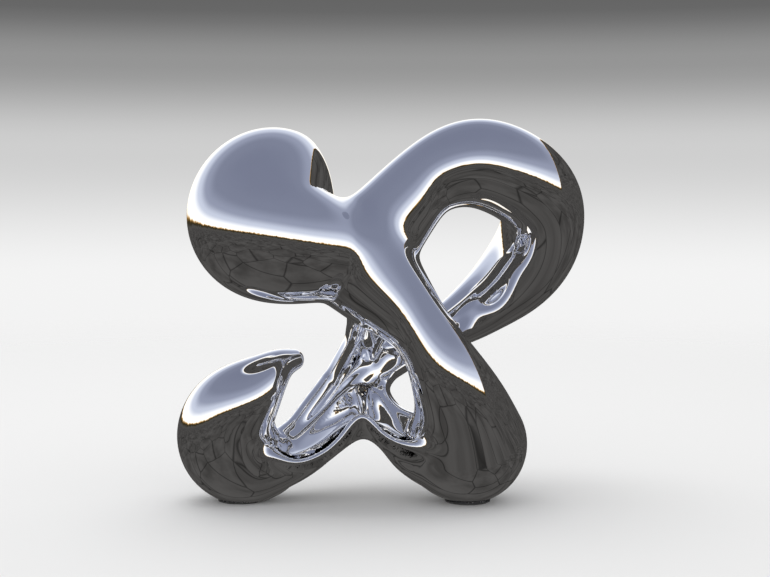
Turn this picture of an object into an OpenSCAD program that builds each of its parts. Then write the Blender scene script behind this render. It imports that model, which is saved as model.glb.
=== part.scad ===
// Desk sculpture: one flowing mirror-bright form of round limbs on two feet.
// The skin is built from hollow shell sections that meet face to face at seams.
// A sleeve bridges each seam from inside, and each foot holds a pot magnet and a soft pad.
// Width runs along X, depth along Y (the head faces -Y) and height along Z.
// The origin is on the resting plane, midway across the width.

/* [Overall size] */
// Width from the left foot to the outside of the loop
overall_width = 206; // [180:1:250]
// Depth from the front of the head to the back of the loop
overall_depth = 117; // [102:1:142]
// Height from the resting plane to the crown of the loop
overall_height = 193; // [168:1:236]
// Girth of every limb, as a percentage of the drawn radii
limb_girth = 100; // [92:1:110]

/* [Shells] */
// Wall thickness of the hollow shell sections
wall = 2; // [1.5:0.1:3]

/* [Seam sleeves] */
// Length of each sleeve that bridges a seam
sleeve_length = 10; // [7:0.5:14]
// Wall thickness of each sleeve
sleeve_wall = 1.5; // [1:0.1:2.5]
// Room between a sleeve and the shells around it
sleeve_clearance = 1.2; // [1:0.1:2]

/* [Spigots] */
// Diameter of the spigots that carry the bridge bar and the ends of the rear web
spigot_diameter = 6; // [4:0.5:7]
// Length of each spigot
spigot_length = 6; // [4:0.5:8]
// Room around a spigot in its socket
spigot_clearance = 0.15; // [0.1:0.05:0.3]

/* [Feet] */
// Thickness of the soft pad under each foot
pad_thickness = 0.8; // [0.5:0.1:1.2]
// Diameter of the soft pad
pad_diameter = 23; // [21:0.5:24]
// Outer diameter of the ring set into the underside of each foot
ring_diameter = 21; // [20:0.5:22]
// Height of the foot ring
ring_height = 5; // [4.5:0.5:6]
// Outer diameter of the steel cup around the magnet
cup_diameter = 16; // [14:0.5:17]
// Wall and roof thickness of the magnet cup
cup_wall = 1.2; // [1:0.1:1.5]
// Height of the disc magnet
magnet_height = 3.5; // [2.5:0.1:3.8]
// Room around the ring, the cup and the magnet
foot_clearance = 0.1; // [0.05:0.05:0.2]

/* [Hidden] */

// The limbs are drawn at this size, and the overall sizes stretch their centre lines.
drawn_size = [206, 117, 193];
// Two balls stand at the ends of each direction, and their girth stays as drawn.
end_balls = [46, 54.5, 45];
overall = [overall_width, overall_depth, overall_height];
stretch = [for (i = [0 : 2]) (overall[i] - end_balls[i]) / (drawn_size[i] - end_balls[i])];

// Each limb is a chain of balls: x, y, z and radius.
// Trunk: head, neck, centre, leg and right foot
trunk = [[-49, -3, 167, 20], [-58, -9, 153, 34], [-57, -25, 137, 34], [-42, -25, 131, 29.5],
         [-29, -18, 128, 26], [-16, -13, 124, 25.5], [-6, -14, 115, 24], [4, -18, 105, 20.5],
         [14, -23, 95, 16.5], [24, -27, 82, 15.5], [32, -26, 67, 18.5], [39, -17, 50, 23],
         [43, -3, 29, 30]];
// Loop: from the centre up over the crown, down the side and back behind the leg to the left foot
loop = [[-16, -7, 124, 21], [0, -5, 138, 21.5], [11, -4, 151, 19.5], [21, -2, 161, 18.5],
        [35, 1, 168.5, 20.5], [48, 4, 170.5, 22.5], [61, 6, 167, 23], [73, 10, 160, 22.5],
        [81, 16, 151, 21.5], [83, 24, 139, 21.5], [80, 32, 126, 22], [70, 38, 111, 20.5],
        [57, 41, 99, 17], [43, 40, 89, 14], [30, 38, 82, 11], [18, 36, 76, 9], [6, 34, 68.5, 8.5],
        [-6, 31, 61, 6.5], [-19, 27, 51, 6], [-32, 22, 39, 6], [-44, 15, 29, 7], [-57, 7, 23, 9]];
// Strut: the free left edge of the rear web, from under the centre to the left foot
strut = [[-8, 7, 104, 12.5], [-11, 13, 94, 6.5], [-12.5, 17, 85, 5], [-18.5, 20, 73, 4.8],
         [-27.5, 21, 57, 4.8], [-38.5, 18, 43, 4.8], [-48, 13, 31, 5], [-57, 7, 23, 9]];
// Middle of the rear web, between the strut and the tail of the loop
web = [[-1, 11, 97, 10], [-2, 23, 84, 5], [-8, 28, 73, 4], [-15, 30, 62, 4], [-27, 27, 49, 4],
       [-37, 21, 37, 4.5], [-44, 15, 29, 6]];
// Hook: the left foot and the curl that rises from it
hook = [[-60, -1, 18, 16], [-72, -1, 20, 22.5], [-78, -4, 28, 25], [-79, -7, 36, 24.5],
        [-77, -10, 44, 22.5], [-70, -14, 53, 19], [-63, -14, 60, 14.5], [-56.5, -12, 66, 10.5],
        [-51, -7, 70.5, 7.5], [-45, -2, 71.5, 5.5]];
// Bridge: the low front ridge between the two feet
bridge = [[-72, -1, 20, 20], [-60, -5, 19, 14], [-50, -12, 18, 9], [-43, -13, 19, 7.5],
          [-35, -14, 22, 5.5], [-26, -13, 28, 4.5], [-17, -12, 36, 4.5], [-10, -11, 41, 5.5],
          [-2, -12, 36, 5], [5, -12, 30, 6], [11, -12, 26, 8.5], [22, -8, 25, 15.5], [43, -3, 29, 29]];
// Rear fork: from the tail of the loop down to the back of the right foot
fork = [[6, 34, 68.5, 8.5], [0, 33, 61, 7.5], [-4, 29, 53, 7], [0, 22, 44, 7], [9, 14, 36.5, 6.5],
        [17, 9, 32, 9], [29, 4, 29, 15]];

// Stations of the seams along each chain
neck = 4;
hip = 8;
ankle = 10;
arm = 3;
crown = 7;
side = 11;
loop_tail = 14;
wrist = 5;
bridge_left = 3;
bridge_right = 9;
fork_foot = 4;
// The rear web meets the centre on a level plane and the left foot on a slanting one
web_top = 85;
web_root = [-37, 20, 39, 5];
web_root_normal = [-0.63, -0.15, -0.77];

left_foot = [-72, -1];
right_foot = [43, -3];
// Facets of the balls, outside and inside the walls
outer_facets = 24;
inner_facets = 20;
// A spigot starts this far inside its own piece
spigot_root = 2;
// A cutting block reaches this far past what it removes
reach = 10;
// Side of the cube that trims a foot level with its pad
under_foot = 100;
steel = "silver";

// A ball's underside follows the height, so that the feet stay on the ground.
function rise(p) = len(p) > 3 ? p[3] + (p[2] - p[3]) * stretch[2] : p[2] * stretch[2];
function at(p) = [p[0] * stretch[0], p[1] * stretch[1], rise(p)];
function girth(p) = p[3] * limb_girth / 100;
function heading(chain, i) = at(chain[i + 1]) - at(chain[i - 1]);
function tilt(v) = [0, acos(v[2] / norm(v)), atan2(v[1], v[0])];

module ball(p, inset = 0) {
    translate(at(p))
        sphere(r = max(girth(p) - inset, 0.5), $fn = inset > 0 ? inner_facets : outer_facets);
}

module limb(chain, first, last, inset = 0) {
    for (i = [first : last - 1])
        hull() {
            ball(chain[i], inset);
            ball(chain[i + 1], inset);
        }
}

// A sheet between two chains, which start at stations a and b
module sheet(chain_a, a, chain_b, b, steps) {
    for (i = [0 : steps - 1])
        hull() {
            ball(chain_a[a + i]);
            ball(chain_a[a + i + 1]);
            ball(chain_b[b + i]);
            ball(chain_b[b + i + 1]);
        }
}

// Moves its children to a seam, with +Z along the limb
module on_seam(chain, i) {
    translate(at(chain[i])) rotate(tilt(heading(chain, i))) children();
}

// Block that removes the stub of a limb ahead of a seam, or behind it
module ahead_of(chain, i) {
    depth = norm(at(chain[i + 1]) - at(chain[i])) + girth(chain[i + 1]) + reach;
    width = 2 * max(girth(chain[i]), girth(chain[i + 1])) + reach;
    on_seam(chain, i) translate([-width / 2, -width / 2, 0]) cube([width, width, depth]);
}

module behind(chain, i) {
    depth = norm(at(chain[i - 1]) - at(chain[i])) + girth(chain[i - 1]) + reach;
    width = 2 * max(girth(chain[i]), girth(chain[i - 1])) + reach;
    on_seam(chain, i) translate([-width / 2, -width / 2, -depth]) cube([width, width, depth]);
}

// Round spigot that stands ahead of a seam (direction 1) or behind it (direction -1).
// It is rooted in its own piece, and with room around it, it is the socket.
module spigot(chain, i, direction, room = 0) {
    length = spigot_length + spigot_root + room;
    on_seam(chain, i)
        translate([0, 0, direction > 0 ? -spigot_root : spigot_root - length])
        cylinder(d = spigot_diameter + 2 * room, h = length, $fn = 32);
}

// Hollow length of limb between two seams
module hollow_limb(chain, from_seam, to_seam) {
    difference() {
        limb(chain, from_seam - 1, to_seam + 1);
        limb(chain, from_seam - 1, to_seam + 1, wall);
        behind(chain, from_seam);
        ahead_of(chain, to_seam);
    }
}

module head_shell() {
    color(steel) difference() {
        limb(trunk, 0, neck + 1);
        limb(trunk, 0, neck + 1, wall);
        ahead_of(trunk, neck);
    }
}

// Space below the level plane where the rear web starts, behind the trunk
module under_centre() {
    translate(at([-40, 3, web_top - 40]))
        cube(at([70, 60, 40]));
}

// Space above that plane, which the centre shell fills
module over_web() {
    translate(at([-40, -1, web_top]))
        cube(at([55, 30, 40]));
}

module centre_shell() {
    color(steel) difference() {
        union() {
            limb(trunk, neck - 1, hip + 1);
            limb(loop, 0, arm + 1);
            sheet(strut, 0, web, 0, 2);
            limb(strut, 0, 3);
        }
        limb(trunk, neck - 1, hip + 1, wall);
        limb(loop, 0, arm + 1, wall);
        behind(trunk, neck);
        ahead_of(trunk, hip);
        ahead_of(loop, arm);
        under_centre();
    }
}

module loop_crown_shell() {
    color(steel) hollow_limb(loop, arm, crown);
}

module loop_side_shell() {
    color(steel) hollow_limb(loop, crown, side);
}

module loop_return_shell() {
    color(steel) hollow_limb(loop, side, loop_tail);
}

module leg_shell() {
    color(steel) hollow_limb(trunk, hip, ankle);
}

// Seat for the foot ring, and everything below the pad's top
module foot_opening(foot) {
    on_pad(foot) {
        cylinder(d = ring_diameter + 2 * foot_clearance, h = ring_height + reach, $fn = 48);
        translate([-under_foot / 2, -under_foot / 2, -under_foot])
            cube(under_foot);
    }
}

// Moves its children to the slanting face where the rear web meets the left foot
module on_web_root() {
    slant = [for (i = [0 : 2]) web_root_normal[i] / stretch[i]];
    translate(at(web_root)) rotate(tilt(slant)) children();
}

module below_web_root() {
    on_web_root() translate([-30, -30, 0]) cube([60, 60, 40]);
}

module above_web_root() {
    on_web_root() translate([-30, -30, -40]) cube([60, 60, 40]);
}

module right_foot_shell() {
    color(steel) difference() {
        union() {
            limb(trunk, ankle - 1, 12);
            limb(bridge, bridge_right - 1, 12);
            limb(fork, fork_foot - 1, 6);
        }
        limb(trunk, ankle - 1, 12, wall);
        limb(bridge, bridge_right + 2, 12, wall);
        behind(trunk, ankle);
        behind(bridge, bridge_right);
        behind(fork, fork_foot);
        spigot(bridge, bridge_right, 1, spigot_clearance);
        spigot(fork, fork_foot, 1, spigot_clearance);
        foot_opening(right_foot);
    }
}

module left_foot_shell() {
    color(steel) difference() {
        union() {
            limb(hook, 0, wrist + 1);
            limb(bridge, 0, bridge_left + 1);
            difference() {
                union() {
                    limb(loop, 18, 21);
                    limb(strut, 5, 7);
                    sheet(strut, 4, web, 4, 2);
                    sheet(web, 3, loop, 18, 2);
                }
                above_web_root();
            }
        }
        limb(hook, 0, wrist + 1, wall);
        ahead_of(hook, wrist);
        ahead_of(bridge, bridge_left);
        spigot(bridge, bridge_left, -1, spigot_clearance);
        foot_opening(left_foot);
    }
}

module hook_shell() {
    color(steel) difference() {
        limb(hook, wrist - 1, 9);
        limb(hook, wrist - 1, 8, wall);
        behind(hook, wrist);
    }
}

module bridge_bar() {
    color(steel) {
        difference() {
            limb(bridge, bridge_left - 1, bridge_right + 1);
            behind(bridge, bridge_left);
            ahead_of(bridge, bridge_right);
        }
        spigot(bridge, bridge_left, -1);
        spigot(bridge, bridge_right, 1);
    }
}

module rear_web() {
    color(steel) {
        difference() {
            union() {
                limb(strut, 1, 6);
                sheet(strut, 1, web, 0, 5);
                limb(loop, loop_tail - 1, 20);
                sheet(web, 2, loop, 17, 3);
                limb(fork, 0, fork_foot + 1);
            }
            over_web();
            behind(loop, loop_tail);
            ahead_of(fork, fork_foot);
            below_web_root();
        }
        spigot(fork, fork_foot, 1);
    }
}

// Ring across a seam, inside the shells
module seam_sleeve(chain, i) {
    radius = girth(chain[i]) - wall - sleeve_clearance;
    on_seam(chain, i) translate([0, 0, -sleeve_length / 2]) difference() {
        cylinder(r = radius, h = sleeve_length, $fn = 64);
        translate([0, 0, -1]) cylinder(r = radius - sleeve_wall, h = sleeve_length + 2, $fn = 64);
    }
}

module neck_sleeve() { color("lightgrey") seam_sleeve(trunk, neck); }
module hip_sleeve() { color("lightgrey") seam_sleeve(trunk, hip); }
module ankle_sleeve() { color("lightgrey") seam_sleeve(trunk, ankle); }
module arm_sleeve() { color("lightgrey") seam_sleeve(loop, arm); }
module crown_sleeve() { color("lightgrey") seam_sleeve(loop, crown); }
module side_sleeve() { color("lightgrey") seam_sleeve(loop, side); }
module hook_sleeve() { color("lightgrey") seam_sleeve(hook, wrist); }

// Moves its children onto the top of a foot's pad
module on_pad(foot) {
    translate([foot[0] * stretch[0], foot[1] * stretch[1], pad_thickness]) children();
}

module foot_ring(foot) {
    color("lightgrey") on_pad(foot) difference() {
        cylinder(d = ring_diameter, h = ring_height, $fn = 64);
        translate([0, 0, -1])
            cylinder(d = cup_diameter + 2 * foot_clearance, h = ring_height + 2, $fn = 64);
    }
}

module magnet_cup(foot) {
    color("grey") on_pad(foot) difference() {
        cylinder(d = cup_diameter, h = magnet_height + cup_wall, $fn = 64);
        translate([0, 0, -1]) cylinder(d = cup_diameter - 2 * cup_wall, h = magnet_height + 1, $fn = 64);
    }
}

module magnet(foot) {
    color("dimgrey") on_pad(foot)
        cylinder(d = cup_diameter - 2 * cup_wall - 2 * foot_clearance, h = magnet_height, $fn = 64);
}

module pad(foot) {
    color("black") on_pad(foot) translate([0, 0, -pad_thickness])
        cylinder(d = pad_diameter, h = pad_thickness, $fn = 64);
}

module left_foot_ring() { foot_ring(left_foot); }
module right_foot_ring() { foot_ring(right_foot); }
module left_magnet_cup() { magnet_cup(left_foot); }
module right_magnet_cup() { magnet_cup(right_foot); }
module left_magnet() { magnet(left_foot); }
module right_magnet() { magnet(right_foot); }
module left_pad() { pad(left_foot); }
module right_pad() { pad(right_foot); }

head_shell();
centre_shell();
loop_crown_shell();
loop_side_shell();
loop_return_shell();
leg_shell();
right_foot_shell();
left_foot_shell();
hook_shell();
bridge_bar();
rear_web();
neck_sleeve();
hip_sleeve();
ankle_sleeve();
arm_sleeve();
crown_sleeve();
side_sleeve();
hook_sleeve();
left_foot_ring();
right_foot_ring();
left_magnet_cup();
right_magnet_cup();
left_magnet();
right_magnet();
left_pad();
right_pad();
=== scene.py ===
# %% [markdown]
# # A polished steel desk sculpture
# One flowing form on two round feet, made from hollow shells and two solid bars that are
# welded and polished until the seams vanish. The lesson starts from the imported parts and
# makes a smooth skin over them, cuts it into the same parts, and gives each one its finish.

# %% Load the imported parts
import math
from concurrent.futures import ThreadPoolExecutor

import bmesh
import bpy
import numpy as np
from mathutils import Matrix, Vector


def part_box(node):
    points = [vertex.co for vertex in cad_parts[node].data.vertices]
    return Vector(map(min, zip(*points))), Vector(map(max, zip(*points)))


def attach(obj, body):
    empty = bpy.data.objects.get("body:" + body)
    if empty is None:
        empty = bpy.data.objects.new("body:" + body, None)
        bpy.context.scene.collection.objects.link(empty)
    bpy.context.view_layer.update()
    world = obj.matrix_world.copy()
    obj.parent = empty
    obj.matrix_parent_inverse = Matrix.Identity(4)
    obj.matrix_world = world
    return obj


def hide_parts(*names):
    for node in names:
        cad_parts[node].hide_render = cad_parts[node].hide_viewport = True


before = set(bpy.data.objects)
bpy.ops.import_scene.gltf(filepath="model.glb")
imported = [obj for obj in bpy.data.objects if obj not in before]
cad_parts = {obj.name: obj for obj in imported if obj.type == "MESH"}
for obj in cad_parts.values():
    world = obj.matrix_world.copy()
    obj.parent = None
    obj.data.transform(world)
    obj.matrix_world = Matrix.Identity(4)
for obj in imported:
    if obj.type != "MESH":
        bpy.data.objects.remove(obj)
bpy.context.view_layer.update()

# %% [markdown]
# ## The limbs
# A sculptor would bend a wire armature first. Here each limb is a row of stations: x, y, z and
# the radius of the clay there, in millimetres. The stations are easy to nudge, and every
# piece of the finished skin comes from them.

# %% Stations of the armature
MM = 0.001
TRUNK = [(-49, -3, 167, 20), (-58, -9, 153, 34), (-57, -25, 137, 34), (-42, -25, 131, 29.5),
         (-29, -18, 128, 26), (-16, -13, 124, 25.5), (-6, -14, 115, 24), (4, -18, 105, 20.5),
         (14, -23, 95, 16.5), (24, -27, 82, 15.5), (32, -26, 67, 18.5), (39, -17, 50, 23),
         (43, -3, 29, 30)]
LOOP = [(-16, -7, 124, 21), (0, -5, 138, 21.5), (11, -4, 151, 19.5), (21, -2, 161, 18.5),
        (35, 1, 168.5, 20.5), (48, 4, 170.5, 22.5), (61, 6, 167, 23), (73, 10, 160, 22.5),
        (81, 16, 151, 21.5), (83, 24, 139, 21.5), (80, 32, 126, 22), (70, 38, 111, 20.5),
        (57, 41, 99, 17), (43, 40, 89, 14), (30, 38, 82, 11), (18, 36, 76, 9),
        (6, 34, 68.5, 8.5), (-6, 31, 61, 6.5), (-19, 27, 51, 6), (-32, 22, 39, 6),
        (-44, 15, 29, 7), (-57, 7, 23, 9)]
STRUT = [(-8, 7, 104, 12.5), (-11, 13, 94, 6.5), (-12.5, 17, 85, 5), (-18.5, 20, 73, 4.8),
         (-27.5, 21, 57, 4.8), (-38.5, 18, 43, 4.8), (-48, 13, 31, 5), (-57, 7, 23, 9)]
WEB = [(-1, 11, 97, 10), (-2, 23, 84, 5), (-8, 28, 73, 4), (-15, 30, 62, 4),
       (-27, 27, 49, 4), (-37, 21, 37, 4.5), (-44, 15, 29, 6)]
HOOK = [(-60, -1, 18, 16), (-72, -1, 20, 22.5), (-78, -4, 28, 25), (-79, -7, 36, 24.5),
        (-77, -10, 44, 22.5), (-70, -14, 53, 19), (-63, -14, 60, 14.5), (-56.5, -12, 66, 10.5),
        (-51, -7, 70.5, 7.5), (-45, -2, 71.5, 5.5)]
# The front ridge: its rim, the edge of the arch below it, and the back of the basins behind it
RIM = [(-64, -10, 26, 8), (-53, -17, 25, 3), (-44, -20, 22, 1.6), (-35, -20, 24, 1.4),
       (-26, -20, 29, 1.4), (-18, -18, 38, 1.4), (-10, -14, 46, 2.5), (-2, -17, 38, 1.4),
       (6, -20, 33, 1.4), (14, -22, 31, 2.2), (23, -22, 31, 6)]
ARCH = [(-64, -6, 17, 13), (-54, -9, 16, 9), (-45, -10, 17, 6.5), (-36, -10, 21, 5),
        (-27, -9, 27, 4), (-18, -8, 34, 4), (-10, -8, 38, 4), (-2, -8, 35, 4.2),
        (5, -8, 29, 5), (12, -7, 24, 8), (22, -5, 24, 14)]
BACK = [(-57, 7, 23, 9), (-50, 12, 26, 6), (-43, 15, 29, 5.5), (-35, 18, 34, 5), (-27, 20, 41, 4.5),
        (-18, 22, 48, 4.5), (-10, 22, 52, 4.5), (-3, 20, 47, 4.5), (4, 17, 41, 4.5),
        (11, 13, 38, 5.5), (20, 8, 32, 9)]
FORK = [(6, 34, 68.5, 8.5), (0, 33, 61, 7.5), (-4, 29, 53, 7), (0, 22, 44, 7), (9, 14, 36.5, 6.5),
        (17, 9, 32, 9), (29, 4, 29, 15)]

# %% [markdown]
# ## From stations to smooth runs
# Straight lines between stations would leave a kink at each one, and a mirror shows every kink.
# A cubic curve through the stations bends evenly, and a light blur along its length irons out
# what was placed unevenly.

# %% Smooth runs
STEP = 1.0  # mm between two samples of a run
FINE = 0.5  # mm between two samples of the cubic curve
IRON = 5.0  # mm, width of the blur along a run
THINNEST = 1.5  # mm, least radius of a limb


def cubic_through(stations):
    """Closely spaced samples of a natural cubic curve through the stations."""
    points = np.array(stations, float)
    gaps = np.linalg.norm(np.diff(points[:, :3], axis=0), axis=1)
    at = np.concatenate([[0], np.cumsum(gaps)])
    count = len(points)
    matrix, right = np.eye(count), np.zeros((count, 4))
    for i in range(1, count - 1):
        matrix[i, i - 1 : i + 2] = gaps[i - 1], 2 * (gaps[i - 1] + gaps[i]), gaps[i]
        right[i] = 6 * ((points[i + 1] - points[i]) / gaps[i] - (points[i] - points[i - 1]) / gaps[i - 1])
    bend = np.linalg.solve(matrix, right)
    fine = np.arange(0, at[-1] + FINE / 2, FINE)
    k = np.clip(np.searchsorted(at, fine, side="right") - 1, 0, count - 2)
    a, b, g = (at[k + 1] - fine)[:, None], (fine - at[k])[:, None], gaps[k][:, None]
    curve = (bend[k] * a**3 + bend[k + 1] * b**3) / (6 * g)
    curve += (points[k] / g - bend[k] * g / 6) * a + (points[k + 1] / g - bend[k + 1] * g / 6) * b
    return at, fine, curve


def run(stations):
    """The ironed run, and a function from a station number to a place on it."""
    at, fine, curve = cubic_through(stations)
    reach = int(IRON * 6)
    head = 2 * curve[0] - curve[reach:0:-1]
    tail = 2 * curve[-1] - curve[-2 : -reach - 2 : -1]
    padded = np.concatenate([head, curve, tail])
    weights = np.exp(-0.5 * (np.arange(-reach, reach + 1) * FINE / IRON) ** 2)
    weights /= weights.sum()
    ironed = np.stack([np.convolve(padded[:, c], weights, "valid") for c in range(4)], 1)
    ironed[:, 3] = np.maximum(ironed[:, 3], THINNEST)

    def place(number):
        where = np.interp(number, np.arange(len(at)), at)
        return np.stack([np.interp(where, fine, ironed[:, c]) for c in range(4)], -1)

    return at, place


def between(stations, first, last):
    """Samples of a run between two station numbers, about STEP apart."""
    at, place = run(stations)
    count = max(3, int(round((at[int(last)] - at[int(first)]) / STEP)) + 1)
    return place(np.linspace(first, last, count))


def paired(stations_a, a, stations_b, b, steps):
    """The same number of samples on two runs, for a sheet stretched between them."""
    at_a, place_a = run(stations_a)
    at_b, place_b = run(stations_b)
    length = max(at_a[a + steps] - at_a[a], at_b[b + steps] - at_b[b])
    count = max(3, int(round(length / STEP)) + 1)
    return place_a(np.linspace(a, a + steps, count)), place_b(np.linspace(b, b + steps, count))


# %% [markdown]
# ## Limbs and sheets
# A limb is one run. A sheet is two runs with clay stretched between them, thinner halfway, as
# in the web behind the legs. Each carries its own softness, which sets how generously it flows
# into its neighbours: thick limbs melt together, and thin ones keep a crisp root.

# %% Everything the skin is stretched over
SOFT, FIRM = 3.2, 0.8  # mm, how widely thick and thin limbs flow into their neighbours
clay = []


def add_limb(stations, first, last, flow):
    samples = between(stations, first, last)
    clay.append(dict(a=samples, b=None, waist=0.0, flow=flow))


def add_sheet(stations_a, a, stations_b, b, steps, flow=FIRM, waist=1.5):
    one, two = paired(stations_a, a, stations_b, b, steps)
    clay.append(dict(a=one, b=two, waist=waist, flow=flow))


add_limb(TRUNK, 0, 12, SOFT)
add_limb(LOOP, 0, 16, SOFT)
add_limb(LOOP, 15, 21, FIRM)
add_limb(HOOK, 0, 9, SOFT)
add_limb(FORK, 0, 6, FIRM)
add_limb(STRUT, 6, 7, FIRM)
add_sheet(ARCH, 0, RIM, 0, 10, 0.7, 0.0)
add_sheet(ARCH, 0, BACK, 0, 10, 1.2, 1.0)
add_sheet(STRUT, 0, WEB, 0, 2, 2.0)
add_sheet(STRUT, 1, WEB, 0, 5, waist=2.0)
add_sheet(WEB, 2, LOOP, 17, 3)
add_sheet(STRUT, 4, WEB, 4, 2)
add_sheet(WEB, 3, LOOP, 18, 2)
print("limbs and sheets:", len(clay), "samples:", sum(len(c["a"]) for c in clay))

# %% [markdown]
# ## A rough skin
# Dozens of balls along every run, melted together by a voxel remesh, give a closed skin with
# even faces. It is lumpy, which doesn't matter yet.

# %% Balls and remesh
VOXEL = 1.4  # mm


def balls_along(samples, bm, spacing):
    travelled = 1e9
    for i, (x, y, z, radius) in enumerate(samples):
        if i:
            travelled += np.linalg.norm(samples[i, :3] - samples[i - 1, :3])
        if travelled >= spacing * max(radius, 4) or i == len(samples) - 1:
            travelled = 0.0
            place = Matrix.Translation(Vector((x, y, z)) * MM)
            bmesh.ops.create_icosphere(bm, subdivisions=2, radius=radius * 1.01 * MM, matrix=place)


def rough_skin():
    bm = bmesh.new()
    for piece in clay:
        a, b = piece["a"], piece["b"]
        if b is None:
            balls_along(a, bm, 0.3)
            continue
        across = max(2, int(np.linalg.norm(a[:, :3] - b[:, :3], axis=1).max() / 3.0))
        for u in np.linspace(0, 1, across + 1):
            row = a * (1 - u) + b * u
            row[:, 3] -= piece["waist"] * 4 * u * (1 - u)
            balls_along(row, bm, 0.5)
    mesh = bpy.data.meshes.new("rough_skin")
    bm.to_mesh(mesh)
    bm.free()
    lump = bpy.data.objects.new("rough_skin", mesh)
    bpy.context.scene.collection.objects.link(lump)
    remesh = lump.modifiers.new("remesh", "REMESH")
    remesh.mode = "VOXEL"
    remesh.voxel_size = VOXEL * MM
    done = lump.evaluated_get(bpy.context.evaluated_depsgraph_get())
    skin = bpy.data.meshes.new_from_object(done)
    bpy.data.objects.remove(lump)
    return skin


skin_mesh = rough_skin()
print("rough skin:", len(skin_mesh.vertices), "points,", len(skin_mesh.polygons), "faces")

# %% [markdown]
# ## How far a point is from the clay
# For any point in space, each limb says how far its surface is, and the answers are blended
# with a soft minimum, so there is no crease where two limbs meet.


# %% Distance to the blended clay
COARSE = 6  # every sixth sample is enough to find the right stretch of a run
CHUNK = 6000  # points worked on at once
NEIGHBOUR = 2.5  # mm, how near a limb must be to lend its softness


def row_between(piece, a, b, share):
    """The ball of a limb, or the one at a share of the way across a sheet."""
    if b is None:
        return a
    s = share[..., None]
    mid = a * (1 - s) + b * s
    mid[..., 3] -= piece["waist"] * 4 * share * (1 - share)
    return mid


def share_across(points, a, b):
    along = b[..., :3] - a[..., :3]
    length = np.maximum((along**2).sum(-1), 1e-9)
    return np.clip((((points - a[..., :3]) * along).sum(-1)) / length, 0, 1)


def distance_to(piece, points):
    """Distance from each point to one limb or sheet, the unit vector away from it, and from its core."""
    a, b = piece["a"], piece["b"]
    some = slice(None, None, COARSE)
    spread = points[:, None, :]
    share = None if b is None else share_across(spread, a[None, some], b[None, some])
    balls = row_between(piece, a[None, some], None if b is None else b[None, some], share)
    gap = spread - balls[..., :3]
    rough = np.sqrt(np.einsum("ijk,ijk->ij", gap, gap)) - balls[..., 3]
    close = rough.argmin(1) * COARSE
    window = np.clip(close[:, None] + np.arange(-COARSE, COARSE + 1), 0, len(a) - 1)
    share = None if b is None else share_across(spread, a[window], b[window])
    balls = row_between(piece, a[window], None if b is None else b[window], share)
    gap = spread - balls[..., :3]
    away = np.sqrt(np.einsum("ijk,ijk->ij", gap, gap)) - balls[..., 3]
    rows = np.arange(len(points))
    nearest = away.argmin(1)
    low, high = np.maximum(nearest - 1, 0), np.minimum(nearest + 1, away.shape[1] - 1)
    d0, d1, d2 = away[rows, low], away[rows, nearest], away[rows, high]
    curve = d0 - 2 * d1 + d2
    inside = (window[rows, low] < window[rows, nearest]) & (window[rows, nearest] < window[rows, high])
    inside &= curve > 1e-9
    shift = np.clip(np.where(inside, 0.5 * (d0 - d2) / np.where(inside, curve, 1), 0), -1, 1)
    distance = d1 - 0.25 * (d0 - d2) * shift
    here, there = balls[rows, nearest], balls[rows, np.where(shift > 0, high, low)]
    centre = here + np.abs(shift)[:, None] * (there - here)
    outward = points - centre[:, :3]
    core = np.maximum(np.linalg.norm(outward, axis=1), 1e-9)
    return distance, outward / core[:, None], core


def skin_field_of(points):
    found = [distance_to(piece, points) for piece in clay]
    distances = np.stack([d for d, _, _ in found])
    outward = np.stack([w for _, w, _ in found])
    cores = np.stack([c for _, _, c in found])
    closest = distances.min(0)
    flows = np.array([piece["flow"] for piece in clay])[:, None]
    pull = np.exp(-(distances - closest) / NEIGHBOUR)
    flow = (pull * flows).sum(0) / pull.sum(0)
    weight = np.exp(-(distances - closest) / flow)
    value = closest - flow * np.log(weight.sum(0))
    core = (weight * cores).sum(0) / weight.sum(0)
    return value, (weight[:, :, None] * outward).sum(0) / weight.sum(0)[:, None], core


def skin_field(points, with_core=False):
    """Blended distance in mm from each point to the clay, and the way outwards."""
    chunks = [points[i : i + CHUNK] for i in range(0, len(points), CHUNK)]
    with ThreadPoolExecutor(4) as hands:
        done = list(hands.map(skin_field_of, chunks))
    value, way, core = (np.concatenate([part[i] for part in done]) for i in range(3))
    return (value, way, core) if with_core else (value, way)


# %% [markdown]
# ## Draw the skin tight
# Each point slides along the surface towards the middle of its neighbours, which evens out the
# faces, and then moves straight onto the blended clay. A few rounds of that leave a skin as
# smooth as the sums behind it.


# %% Relax and settle
def settle(points, rounds=2):
    for _ in range(rounds):
        value, way = skin_field(points)
        step = value / np.maximum((way**2).sum(1), 0.3)
        points = points - np.clip(step, -2, 2)[:, None] * way
    return points


def relax(points, edges, way, share=0.5):
    total = np.zeros_like(points)
    count = np.bincount(edges.ravel(), minlength=len(points))[:, None]
    for c in range(3):
        total[:, c] = np.bincount(edges[:, 0], points[edges[:, 1], c], len(points))
        total[:, c] += np.bincount(edges[:, 1], points[edges[:, 0], c], len(points))
    move = total / count - points
    unit = way / np.maximum(np.linalg.norm(way, axis=1), 1e-9)[:, None]
    move -= (move * unit).sum(1)[:, None] * unit
    return points + share * move


edges = np.empty(len(skin_mesh.edges) * 2, np.int32)
skin_mesh.edges.foreach_get("vertices", edges)
edges = edges.reshape(-1, 2)
points = np.empty(len(skin_mesh.vertices) * 3)
skin_mesh.vertices.foreach_get("co", points)
points = settle(points.reshape(-1, 3) / MM, 2)
for _ in range(3):
    points = settle(relax(points, edges, skin_field(points)[1]), 1)
points = settle(points, 1)
skin_mesh.vertices.foreach_set("co", (points * MM).ravel())
skin_mesh.update()
print("left over after settling, mm:", round(float(np.abs(skin_field(points)[0]).max()), 4))

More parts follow.
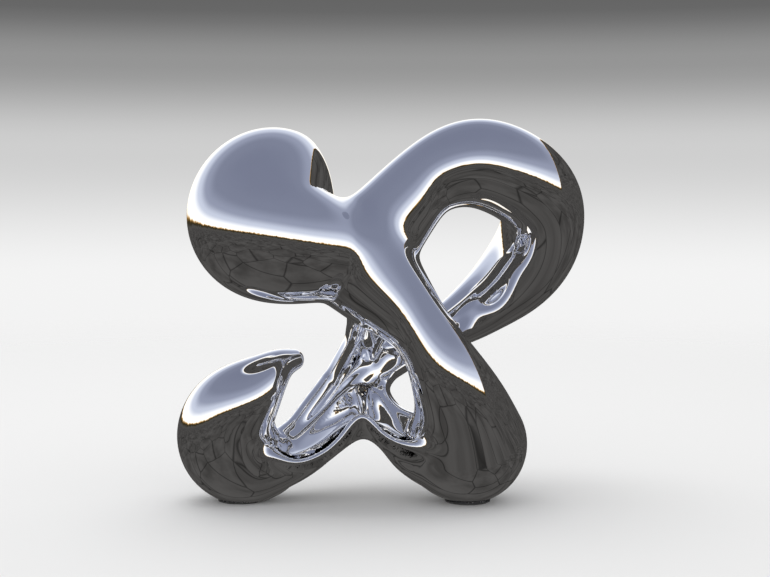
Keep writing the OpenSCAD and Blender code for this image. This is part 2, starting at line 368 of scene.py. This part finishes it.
# %% [markdown]
# ## Cut the skin into its parts
# The real skin is welded from hollow sections and two bars, so it is cut where their seams are:
# on a plane across the limb at each seam station. A plane also runs through other limbs, so only
# the closed ring of edges nearest the station is opened.

# %% Rings across the limbs
def station(stations, number):
    """Centre, heading and radius of a limb at a station."""
    _, place = run(stations)
    here, before, after = (place(np.array([float(number + d)]))[0] for d in (0, -0.5, 0.5))
    heading = after[:3] - before[:3]
    return Vector(here[:3]), Vector(heading).normalized(), float(here[3])


def chains_of(cut_edges):
    """Sorts loose edges into connected sets."""
    left, sets = set(cut_edges), []
    while left:
        todo, found = [left.pop()], []
        while todo:
            edge = todo.pop()
            found.append(edge)
            for vert in edge.verts:
                for other in vert.link_edges:
                    if other in left:
                        left.remove(other)
                        todo.append(other)
        sets.append(found)
    return sets


def cut_ring(bm, centre, heading, reach):
    """Opens the skin along the plane's closed ring nearest the centre, in mm."""
    centre = centre * MM
    faces = [f for f in bm.faces if (f.verts[0].co - centre).length < reach * MM]
    near = set(faces) | {e for f in faces for e in f.edges} | {v for f in faces for v in f.verts}
    cut = bmesh.ops.bisect_plane(bm, geom=list(near), dist=1e-7, plane_co=centre, plane_no=heading)
    fresh = [e for e in cut["geom_cut"] if isinstance(e, bmesh.types.BMEdge)]
    rings = []
    for ring in chains_of(fresh):
        verts = [v for e in ring for v in e.verts]
        if len(verts) == 2 * len(set(verts)):
            middle = sum((v.co for v in set(verts)), Vector()) / len(set(verts))
            rings.append(((middle - centre).length, len(ring), ring))
    rings = [r for r in rings if r[1] > 8]
    if not rings:
        print("no closed ring near", [round(c / MM, 1) for c in centre])
        return 0
    ring = min(rings, key=lambda r: r[0])[2]
    bmesh.ops.split_edges(bm, edges=ring)
    return len(ring)


SEAMS = {
    "neck": (TRUNK, 3.5), "hip": (TRUNK, 8), "ankle": (TRUNK, 10), "arm": (LOOP, 3),
    "crown": (LOOP, 7), "side": (LOOP, 11), "loop_tail": (LOOP, 14), "wrist": (HOOK, 5),
}
REACH = {"neck": 2.4}  # the neck is where the head flows into the body, so its ring is wide
INNER, FLAT = 1, 2  # kinds of face; 0 is the outer skin
bm = bmesh.new()
bm.from_mesh(skin_mesh)
normal_layer = bm.verts.layers.float_vector.new("outward")
wall_layer = bm.verts.layers.float.new("wall")
kind_layer = bm.faces.layers.int.new("kind")
for name, (limb, number) in SEAMS.items():
    centre, heading, radius = station(limb, number)
    print("seam", name, "edges:", cut_ring(bm, centre, heading, radius * REACH.get(name, 1.55) + 6))
LEFT_END = (Vector((-45, 0, 26)), Vector((1, 0, 0.35)).normalized(), 30)
RIGHT_END = (Vector((14, 0, 30)), Vector((1, 0, 0)), 40)
WEB_TOP = (Vector((-8, 20, 86)), Vector((0, 0, 1)), 24)
for name, (centre, heading, reach) in {"left_end": LEFT_END, "right_end": RIGHT_END, "web_top": WEB_TOP}.items():
    print("seam", name, "edges:", cut_ring(bm, centre, heading, reach))

# %% [markdown]
# ## Part the ridge from the web
# The front ridge and the web behind it share the floor of the basins between the feet. An
# upright plane along the middle of that floor parts them, and everything connected is a piece.

# %% Islands
FLOOR_MIDDLE = Vector((0, 5, 0)) * MM
PLACES = {
    "head_shell": (-57, -10, 153), "centre_shell": (-6, -14, 115), "loop_crown_shell": (48, 4, 170),
    "loop_side_shell": (83, 24, 139), "loop_return_shell": (57, 41, 99), "leg_shell": (24, -27, 82),
    "right_foot_shell": (43, -3, 29), "left_foot_shell": (-79, -7, 34), "hook_shell": (-57, -12, 66),
    "bridge_bar": (-10, -10, 41), "rear_web": (-13, 27, 66),
}


def islands(bm):
    left, found = set(bm.faces), []
    while left:
        todo, island = [left.pop()], []
        while todo:
            face = todo.pop()
            island.append(face)
            for edge in face.edges:
                for other in edge.link_faces:
                    if other in left:
                        left.remove(other)
                        todo.append(other)
        found.append(island)
    return sorted(found, key=len, reverse=True)


def nearest_island(found, place):
    place = Vector(place) * MM
    return min(range(len(found)), key=lambda i: min((f.verts[0].co - place).length for f in found[i]))


def close_ends(bm, faces):
    """Fills the open rings of some faces with flat ends."""
    open_edges = {e for f in faces for e in f.edges if e.is_boundary}
    ends = bmesh.ops.holes_fill(bm, edges=list(open_edges), sides=0)["faces"]
    for face in ends:
        face[kind_layer] = FLAT
    return bmesh.ops.triangulate(bm, faces=ends)["faces"]


found = islands(bm)
between_feet = found[nearest_island(found, PLACES["bridge_bar"])]
between_feet += close_ends(bm, between_feet)
geometry = set(between_feet)
geometry |= {e for f in between_feet for e in f.edges} | {v for f in between_feet for v in f.verts}
cut = bmesh.ops.bisect_plane(bm, geom=list(geometry), dist=1e-7, plane_co=FLOOR_MIDDLE, plane_no=(0, 1, 0))
bmesh.ops.split_edges(bm, edges=[e for e in cut["geom_cut"] if isinstance(e, bmesh.types.BMEdge)])
found = islands(bm)
for bar in ("bridge_bar", "rear_web"):
    close_ends(bm, found[nearest_island(found, PLACES[bar])])
    found = islands(bm)
print("islands:", [len(island) for island in found])

# %% [markdown]
# ## Keep the skin's own normals
# Every point keeps the outward direction of the uncut skin, so the light runs straight across
# a welded and polished seam. The core distance tells how thick the clay is there.

# %% Outward directions at every point
WALL = 2.0  # mm
THIN_SHARE = 0.45  # of the distance to the core, where a limb is too thin for the full wall
bm.verts.ensure_lookup_table()
all_points = np.array([v.co for v in bm.verts]) / MM
_, ways, cores = skin_field(all_points, with_core=True)
ways /= np.linalg.norm(ways, axis=1)[:, None]
walls = np.minimum(WALL, THIN_SHARE * cores)
for vert, way, wall in zip(bm.verts, ways, walls):
    vert[normal_layer] = way
    vert[wall_layer] = wall
print("thinnest wall, mm:", round(float(walls.min()), 2))

# %% [markdown]
# ## Feet
# Each foot is ground flat just above its pad, and the ground face has a round seat for the
# foot ring. The open edge is extruded inwards to that circle.

# %% Flat feet with a seat for the ring
PAD_TOP = 0.8  # mm
SEAT_RADIUS = 10.6  # mm, with a hair of room round the ring
FOOT_REACH = 25  # mm, wider than a foot's ground face
bmesh.ops.bisect_plane(bm, geom=bm.verts[:] + bm.edges[:] + bm.faces[:], dist=1e-7,
                       plane_co=(0, 0, PAD_TOP * MM), plane_no=(0, 0, 1), clear_inner=True)
for ring_node in ("left_foot_ring", "right_foot_ring"):
    low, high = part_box(ring_node)
    middle = (low + high) / 2
    on_ground = {v for v in bm.verts if abs(v.co.z - PAD_TOP * MM) < 1e-6
                 and (v.co - middle).length < FOOT_REACH * MM}
    open_edges = [e for e in bm.edges if e.is_boundary and on_ground.issuperset(e.verts)]
    made = bmesh.ops.extrude_edge_only(bm, edges=open_edges)
    for vert in [g for g in made["geom"] if isinstance(g, bmesh.types.BMVert)]:
        out_way = Vector((vert.co.x - middle.x, vert.co.y - middle.y, 0)).normalized()
        vert.co = Vector((middle.x, middle.y, PAD_TOP * MM)) + out_way * SEAT_RADIUS * MM
        vert[normal_layer] = (0, 0, -1)
        vert[wall_layer] = WALL
    ground = [g for g in made["geom"] if isinstance(g, bmesh.types.BMFace)]
    for face in ground:
        face[kind_layer] = FLAT
        face.normal_update()
        if face.normal.z > 0:
            face.normal_flip()
    print(ring_node, "ground face edges:", len(open_edges))

# %% [markdown]
# ## Walls and end faces
# A shell is the skin and a copy of it, moved inwards by the wall and turned round, with a rim
# bridged between them. The two solid bars were closed when they were parted.

# %% Finish each piece
SOLID = ("bridge_bar", "rear_web")


def add_wall(piece):
    """Turns an open skin into a closed wall with a flat rim at each opening."""
    kind_layer = piece.faces.layers.int["kind"]
    normal_layer = piece.verts.layers.float_vector["outward"]
    wall_layer = piece.verts.layers.float["wall"]
    outer_rings = chains_of([e for e in piece.edges if e.is_boundary])
    copy = bmesh.ops.duplicate(piece, geom=piece.verts[:] + piece.edges[:] + piece.faces[:])
    twin = copy["vert_map"]
    inner_faces = [g for g in copy["geom"] if isinstance(g, bmesh.types.BMFace)]
    bmesh.ops.reverse_faces(piece, faces=inner_faces)
    for face in inner_faces:
        face[kind_layer] = INNER
    for vert in {v for f in inner_faces for v in f.verts}:
        outward = Vector(vert[normal_layer])
        vert.co -= outward * vert[wall_layer] * MM
        vert[normal_layer] = -outward
    for ring in outer_rings:
        inner_ring = [piece.edges.get((twin[e.verts[0]], twin[e.verts[1]])) for e in ring]
        bridge = bmesh.ops.bridge_loops(piece, edges=ring + inner_ring)
        for face in bridge["faces"]:
            face[kind_layer] = FLAT


def to_object(piece, name):
    bmesh.ops.recalc_face_normals(piece, faces=piece.faces[:])
    piece.normal_update()
    for face in piece.faces:
        face.smooth = True
    mesh = bpy.data.meshes.new(name)
    piece.to_mesh(mesh)
    faces, corners = len(mesh.polygons), len(mesh.loops)
    point_way = np.empty(len(mesh.vertices) * 3)
    mesh.attributes["outward"].data.foreach_get("vector", point_way)
    point_way = point_way.reshape(-1, 3)
    kind = np.empty(faces, np.int32)
    mesh.attributes["kind"].data.foreach_get("value", kind)
    of_corner = np.empty(corners, np.int32)
    mesh.loops.foreach_get("vertex_index", of_corner)
    start, total = np.empty(faces, np.int32), np.empty(faces, np.int32)
    mesh.polygons.foreach_get("loop_start", start)
    mesh.polygons.foreach_get("loop_total", total)
    flat = np.empty(faces * 3)
    mesh.polygons.foreach_get("normal", flat)
    flat = flat.reshape(-1, 3)
    face_of_corner = np.repeat(np.arange(faces), total)
    ways = point_way[of_corner]
    rim = kind[face_of_corner] == FLAT
    ways[rim] = flat[face_of_corner][rim]
    ways /= np.maximum(np.linalg.norm(ways, axis=1), 1e-9)[:, None]
    for layer in ("outward", "wall", "kind"):
        mesh.attributes.remove(mesh.attributes[layer])
    mesh.normals_split_custom_set(ways.tolist())
    made = bpy.data.objects.new(name, mesh)
    bpy.context.scene.collection.objects.link(made)
    return made


bm.faces.index_update()
found = islands(bm)
made_pieces = {}
owner = {}
for node, place in PLACES.items():
    owner.setdefault(nearest_island(found, place), []).append(node)
print("owners:", {i: nodes for i, nodes in owner.items()})
for i, nodes in owner.items():
    keep = {f.index for f in found[i]}
    piece = bm.copy()
    bmesh.ops.delete(piece, geom=[f for f in piece.faces if f.index not in keep], context="FACES")
    if nodes[0] not in SOLID:
        add_wall(piece)
    name = "polished_" + nodes[0]
    made_pieces[name] = (to_object(piece, name), nodes)
    open_left = sum(e.is_boundary for e in piece.edges)
    print(name, "stands for", nodes, "faces:", len(piece.faces), "open edges:", open_left)
    piece.free()
bm.free()
bpy.data.meshes.remove(skin_mesh)
for piece, nodes in made_pieces.values():
    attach(piece, "root")
    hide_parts(*nodes)

# %% [markdown]
# ## Finishes
# The outside is ground, then buffed to a mirror; the inside parts are only turned or plated.
# Each effect is a group of nodes fed with a place on the piece in metres, so that its marks
# keep their real size.

# %% Effects shared by the materials
def effect(name, outputs):
    """An empty node group that takes a place and gives values."""
    tree = bpy.data.node_groups.new(name, "ShaderNodeTree")
    tree.interface.new_socket("Place", in_out="INPUT", socket_type="NodeSocketVector")
    for output in outputs:
        tree.interface.new_socket(output, in_out="OUTPUT", socket_type="NodeSocketFloat")
    return tree, tree.nodes.new("NodeGroupInput").outputs[0], tree.nodes.new("NodeGroupOutput").inputs


def noise(tree, place, scale, detail=3.0, stretch=(1, 1, 1)):
    """Noise with a number of cells per metre, stretched along an axis."""
    mapping = tree.nodes.new("ShaderNodeMapping")
    mapping.inputs["Scale"].default_value = stretch
    tree.links.new(place, mapping.inputs["Vector"])
    texture = tree.nodes.new("ShaderNodeTexNoise")
    texture.inputs["Scale"].default_value = scale
    texture.inputs["Detail"].default_value = detail
    tree.links.new(mapping.outputs[0], texture.inputs["Vector"])
    return texture.outputs[0]


def spread(tree, value, low, high, to_low, to_high):
    """Maps a value from one range to another, held at its ends."""
    node = tree.nodes.new("ShaderNodeMapRange")
    for socket, number in zip(list(node.inputs)[1:5], (low, high, to_low, to_high)):
        socket.default_value = number
    tree.links.new(value, node.inputs[0])
    return node.outputs[0]


def combine(tree, operation, first, second):
    node = tree.nodes.new("ShaderNodeMath")
    node.operation = operation
    for socket, value in zip(node.inputs, (first, second)):
        if isinstance(value, (int, float)):
            socket.default_value = value
        else:
            tree.links.new(value, socket)
    return node.outputs[0]


buffing, place, out = effect("buffing", ("Haze", "Swirl"))
buffing.links.new(spread(buffing, noise(buffing, place, 60, 4), 0.4, 0.7, 0, 1), out["Haze"])
buffing.links.new(noise(buffing, place, 900, 2, (1, 1, 0.25)), out["Swirl"])

foot_wear, place, out = effect("foot_wear", ("Wear",))
split = foot_wear.nodes.new("ShaderNodeSeparateXYZ")
foot_wear.links.new(place, split.inputs[0])
low_down = spread(foot_wear, split.outputs["Z"], 0.0008, 0.004, 1, 0)
scuffs = spread(foot_wear, noise(foot_wear, place, 700, 5), 0.45, 0.62, 0, 1)
foot_wear.links.new(combine(foot_wear, "MULTIPLY", low_down, scuffs), out["Wear"])

turning, place, out = effect("turning", ("Lines", "Stain"))
turning.links.new(noise(turning, place, 300, 2, (0.05, 0.05, 12)), out["Lines"])
turning.links.new(spread(turning, noise(turning, place, 140, 5), 0.35, 0.7, 0, 1), out["Stain"])

grains, place, out = effect("grains", ("Grain", "Patch"))
grains.links.new(noise(grains, place, 2600, 2), out["Grain"])
grains.links.new(spread(grains, noise(grains, place, 180, 4), 0.35, 0.7, 0, 1), out["Patch"])
print("effects:", [tree.name for tree in bpy.data.node_groups])

# %% Materials
def material(name, effect_tree, tone, metallic, roughness, patch, bump, depth):
    """A finish whose colour and roughness follow a patch mask and whose relief follows a grain."""
    made = bpy.data.materials.new(name)
    made.use_nodes = True
    tree = made.node_tree
    shader = tree.nodes["Principled BSDF"]
    shader.inputs["Metallic"].default_value = metallic
    marks = tree.nodes.new("ShaderNodeGroup")
    marks.node_tree = effect_tree
    where = tree.nodes.new("ShaderNodeTexCoord")
    tree.links.new(where.outputs["Object"], marks.inputs["Place"])
    mix = tree.nodes.new("ShaderNodeMix")
    mix.data_type = "RGBA"
    mix.inputs[6].default_value, mix.inputs[7].default_value = (*tone[0], 1), (*tone[1], 1)
    tree.links.new(marks.outputs[patch], mix.inputs[0])
    tree.links.new(mix.outputs[2], shader.inputs["Base Color"])
    rough = spread(tree, marks.outputs[patch], 0, 1, *roughness)
    relief = tree.nodes.new("ShaderNodeBump")
    relief.inputs["Strength"].default_value = 1.0
    relief.inputs["Distance"].default_value = depth
    tree.links.new(marks.outputs[bump], relief.inputs["Height"])
    tree.links.new(relief.outputs[0], shader.inputs["Normal"])
    tree.links.new(rough, shader.inputs["Roughness"])
    return made, shader, where, rough


mirror_steel, shader, where, rough = material(
    "mirror_steel", buffing, ((0.95, 0.95, 0.96), (0.93, 0.93, 0.94)), 1, (0.008, 0.03),
    "Haze", "Swirl", 2e-8)
tree = mirror_steel.node_tree
worn = tree.nodes.new("ShaderNodeGroup")
worn.node_tree = foot_wear
tree.links.new(where.outputs["Object"], worn.inputs["Place"])
scuffed = combine(tree, "MULTIPLY", worn.outputs["Wear"], 0.35)
tree.links.new(combine(tree, "ADD", rough, scuffed), shader.inputs["Roughness"])
plain_steel = material("plain_steel", turning, ((0.62, 0.62, 0.62), (0.50, 0.49, 0.47)), 1, (0.28, 0.45),
                       "Stain", "Lines", 4e-6)[0]
cup_steel = material("cup_steel", turning, ((0.56, 0.57, 0.58), (0.44, 0.45, 0.46)), 1, (0.30, 0.5),
                     "Stain", "Lines", 3e-6)[0]
magnet = material("magnet", grains, ((0.45, 0.45, 0.46), (0.34, 0.34, 0.35)), 1, (0.32, 0.5),
                  "Patch", "Grain", 8e-6)[0]
pad = material("pad", grains, ((0.05, 0.05, 0.05), (0.09, 0.09, 0.088)), 0, (0.75, 0.95),
               "Patch", "Grain", 3e-5)[0]

for piece, _ in made_pieces.values():
    piece.data.materials.clear()
    piece.data.materials.append(mirror_steel)
finishes = {"_sleeve": plain_steel, "_ring": plain_steel, "_cup": cup_steel, "_magnet": magnet, "_pad": pad}
dressed = 0
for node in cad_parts:
    for ending, finish in finishes.items():
        if node.endswith(ending):
            mesh = bpy.data.objects[node].data
            mesh.materials.clear()
            mesh.materials.append(finish)
            dressed += 1
print("packed parts given a finish:", dressed)

# %% [markdown]
# ## The studio
# Polished steel shows only what is around it. The room the camera sees is a pale studio with
# painted shade: brightest just below the horizon and darkening to near black above it. The steel
# mirrors open sky over paving, which is what gives it blue tops, a thin warm horizon and dark
# undersides.

# %% Sky and paving for the mirror, pale backdrop with painted shade for the camera
def ramp(nodes, stops, interpolation="EASE"):
    """A colour ramp from (place, grey or colour) stops."""
    made = nodes.new("ShaderNodeValToRGB")
    made.color_ramp.interpolation = interpolation
    elements = made.color_ramp.elements
    while len(elements) < len(stops):
        elements.new(0.5)
    for element, (place, colour) in zip(elements, stops):
        element.position = place
        colour = (colour,) * 3 if isinstance(colour, (int, float)) else colour
        element.color = (*colour, 1)
    return made


def maths(nodes, links, operation, *inputs, clamp=False):
    made = nodes.new("ShaderNodeMath")
    made.operation, made.use_clamp = operation, clamp
    for socket, value in zip(made.inputs, inputs):
        if isinstance(value, (int, float)):
            socket.default_value = value
        else:
            links.new(value, socket)
    return made.outputs[0]


world = bpy.data.worlds.new("studio")
bpy.context.scene.world = world
world.use_nodes = True
nodes, links = world.node_tree.nodes, world.node_tree.links
nodes.clear()
direction = nodes.new("ShaderNodeTexCoord").outputs["Generated"]
parts = nodes.new("ShaderNodeSeparateXYZ")
links.new(direction, parts.inputs[0])
height = parts.outputs["Z"]

rough_line = nodes.new("ShaderNodeTexNoise")
rough_line.inputs["Scale"].default_value = 14
rough_line.inputs["Detail"].default_value = 6
rough_line.inputs["Roughness"].default_value = 0.65
links.new(direction, rough_line.inputs["Vector"])
ragged = maths(nodes, links, "MULTIPLY", maths(nodes, links, "SUBTRACT", rough_line.outputs[0], 0.5), 0.10)
# A dark stand of trees rises on one side
to_trees = maths(nodes, links, "ADD", maths(nodes, links, "MULTIPLY", parts.outputs["X"], 0.8),
                 maths(nodes, links, "MULTIPLY", parts.outputs["Y"], 0.6))
tree_line = ramp(nodes, [(0.0, 0.0), (0.68, 0.0), (0.88, 0.6), (1.0, 0.65)])
links.new(to_trees, tree_line.inputs[0])
lifted = maths(nodes, links, "SUBTRACT", height, tree_line.outputs[0])
horizon = maths(nodes, links, "ADD", lifted, ragged)

sky = ramp(nodes, [(0.0, (1.3, 1.24, 1.12)), (0.08, (1.1, 1.12, 1.15)), (0.2, (0.62, 0.67, 0.80)),
                   (0.38, (0.31, 0.34, 0.45)), (0.62, (0.215, 0.237, 0.325)), (1.0, (0.195, 0.215, 0.30))])
glow = maths(nodes, links, "POWER", maths(nodes, links, "MAXIMUM", parts.outputs["Y"], 0.0), 1.4)
dimmed = maths(nodes, links, "SUBTRACT", 1.0, maths(nodes, links, "MULTIPLY", glow, 0.85))
hazy = maths(nodes, links, "MULTIPLY", height, dimmed)
links.new(hazy, sky.inputs[0])

paving_place = nodes.new("ShaderNodeVectorMath")
paving_place.operation = "DIVIDE"
links.new(direction, paving_place.inputs[0])
flatten = nodes.new("ShaderNodeCombineXYZ")
down = maths(nodes, links, "MAXIMUM", maths(nodes, links, "ABSOLUTE", height), 0.06)
for socket in flatten.inputs:
    links.new(down, socket)
links.new(flatten.outputs[0], paving_place.inputs[1])
slabs = nodes.new("ShaderNodeTexVoronoi")
slabs.feature = "DISTANCE_TO_EDGE"
slabs.inputs["Scale"].default_value = 1.1
slabs.inputs["Randomness"].default_value = 0.85
links.new(paving_place.outputs[0], slabs.inputs["Vector"])
joint_lines = ramp(nodes, [(0.0, 0.35), (0.028, 1.0)], "LINEAR")
links.new(slabs.outputs["Distance"], joint_lines.inputs[0])
stains = nodes.new("ShaderNodeTexNoise")
stains.inputs["Scale"].default_value = 1.7
stains.inputs["Detail"].default_value = 5
links.new(paving_place.outputs[0], stains.inputs["Vector"])
stain_tone = ramp(nodes, [(0.3, (0.050, 0.048, 0.046)), (0.7, (0.088, 0.085, 0.082))])
links.new(stains.outputs[0], stain_tone.inputs[0])
paving = nodes.new("ShaderNodeMix")
paving.data_type, paving.blend_type = "RGBA", "MULTIPLY"
paving.inputs[0].default_value = 1
links.new(stain_tone.outputs[0], paving.inputs[6])
links.new(joint_lines.outputs[0], paving.inputs[7])

above = ramp(nodes, [(0.0, 0.0), (0.499, 0.0), (0.503, 1.0)], "LINEAR")
half = maths(nodes, links, "ADD", maths(nodes, links, "MULTIPLY", horizon, 0.5), 0.5)
links.new(half, above.inputs[0])
growth = ramp(nodes, [(0.0, (0.082, 0.080, 0.076)), (0.470, (0.085, 0.082, 0.074)),
                      (0.480, (0.035, 0.030, 0.018)), (0.490, (0.05, 0.035, 0.012)),
                      (0.497, (0.55, 0.30, 0.08)), (0.5, (0.9, 0.62, 0.3))], "LINEAR")
links.new(half, growth.inputs[0])
low_blend = ramp(nodes, [(0.0, 0.0), (0.455, 0.0), (0.475, 1.0)], "LINEAR")
links.new(half, low_blend.inputs[0])
ground = nodes.new("ShaderNodeMix")
ground.data_type = "RGBA"
links.new(low_blend.outputs[0], ground.inputs[0])
links.new(paving.outputs[2], ground.inputs[6])
links.new(growth.outputs[0], ground.inputs[7])
outdoors = nodes.new("ShaderNodeMix")
outdoors.data_type = "RGBA"
links.new(above.outputs[0], outdoors.inputs[0])
links.new(ground.outputs[2], outdoors.inputs[6])
links.new(sky.outputs[0], outdoors.inputs[7])

# Painted shade: the backdrop only the camera sees is brightest just below the horizon and darkens upwards to
# near black, standing in for the falloff of studio light; it lights nothing
painted_shade_backdrop = ramp(nodes, [(0.0, 0.80), (0.40, 0.86), (0.47, 0.90), (0.515, 0.62), (0.545, 0.30),
                        (0.565, 0.13), (0.60, 0.06)])
wall_height = maths(nodes, links, "ADD", maths(nodes, links, "MULTIPLY", height, 0.5), 0.5)
links.new(wall_height, painted_shade_backdrop.inputs[0])

rays = nodes.new("ShaderNodeLightPath")
seen = nodes.new("ShaderNodeMix")
seen.data_type = "RGBA"
links.new(rays.outputs["Is Camera Ray"], seen.inputs[0])
seen.inputs[6].default_value = (0.9, 0.9, 0.9, 1)
links.new(painted_shade_backdrop.outputs[0], seen.inputs[7])
mirrored = nodes.new("ShaderNodeMix")
mirrored.data_type = "RGBA"
links.new(rays.outputs["Is Glossy Ray"], mirrored.inputs[0])
links.new(seen.outputs[2], mirrored.inputs[6])
links.new(outdoors.outputs[2], mirrored.inputs[7])
shine = nodes.new("ShaderNodeBackground")
links.new(mirrored.outputs[2], shine.inputs["Color"])
out = nodes.new("ShaderNodeOutputWorld")
links.new(shine.outputs[0], out.inputs["Surface"])

# %% Floor, light and camera
bpy.context.scene.view_settings.view_transform = "Standard"
floor_mesh = bpy.data.meshes.new("floor")
bm = bmesh.new()
bmesh.ops.create_circle(bm, cap_ends=True, radius=3.0, segments=96)
bm.to_mesh(floor_mesh)
bm.free()
floor = bpy.data.objects.new("floor", floor_mesh)
bpy.context.scene.collection.objects.link(floor)
floor.visible_glossy = False
floor_paint = bpy.data.materials.new("floor_paint")
floor_paint.use_nodes = True
nodes, links = floor_paint.node_tree.nodes, floor_paint.node_tree.links
shader = nodes["Principled BSDF"]
shader.inputs["Roughness"].default_value = 0.9
shader.inputs["Specular IOR Level"].default_value = 0.0
shader.inputs["Base Color"].default_value = (0.78, 0.78, 0.78, 1)
# The floor fades out towards the backdrop, so that no edge shows
middle = nodes.new("ShaderNodeTexCoord")
away = nodes.new("ShaderNodeVectorMath")
away.operation = "LENGTH"
links.new(middle.outputs["Object"], away.inputs[0])
fade = nodes.new("ShaderNodeMapRange")
for socket, number in zip(list(fade.inputs)[1:5], (0.3, 1.1, 1.0, 0.0)):
    socket.default_value = number
fade.interpolation_type = "SMOOTHSTEP"
links.new(away.outputs["Value"], fade.inputs[0])
links.new(fade.outputs[0], shader.inputs["Alpha"])
floor_mesh.materials.append(floor_paint)

lamp_data = bpy.data.lights.new("soft_box", "AREA")
lamp_data.shape, lamp_data.size, lamp_data.energy = "DISK", 1.2, 6
lamp = bpy.data.objects.new("soft_box", lamp_data)
lamp.location = (-0.2, 0.25, 1.4)
lamp.rotation_euler = Vector((0.2, -0.25, -1.4)).to_track_quat("-Z", "Y").to_euler()
lamp.visible_glossy = False
bpy.context.scene.collection.objects.link(lamp)

TARGET = Vector((1.25, -5, 107.7)) * MM
CAMERA_AWAY, CAMERA_UP = 0.7, math.radians(4)
camera_data = bpy.data.cameras.new("camera")
camera_data.lens, camera_data.sensor_width = 65.45, 36
camera_data.clip_start = 0.02
camera = bpy.data.objects.new("camera", camera_data)
camera.location = TARGET + CAMERA_AWAY * Vector((0, -math.cos(CAMERA_UP), math.sin(CAMERA_UP)))
camera.rotation_euler = (TARGET - camera.location).to_track_quat("-Z", "Y").to_euler()
bpy.context.scene.collection.objects.link(camera)
bpy.context.scene.camera = camera
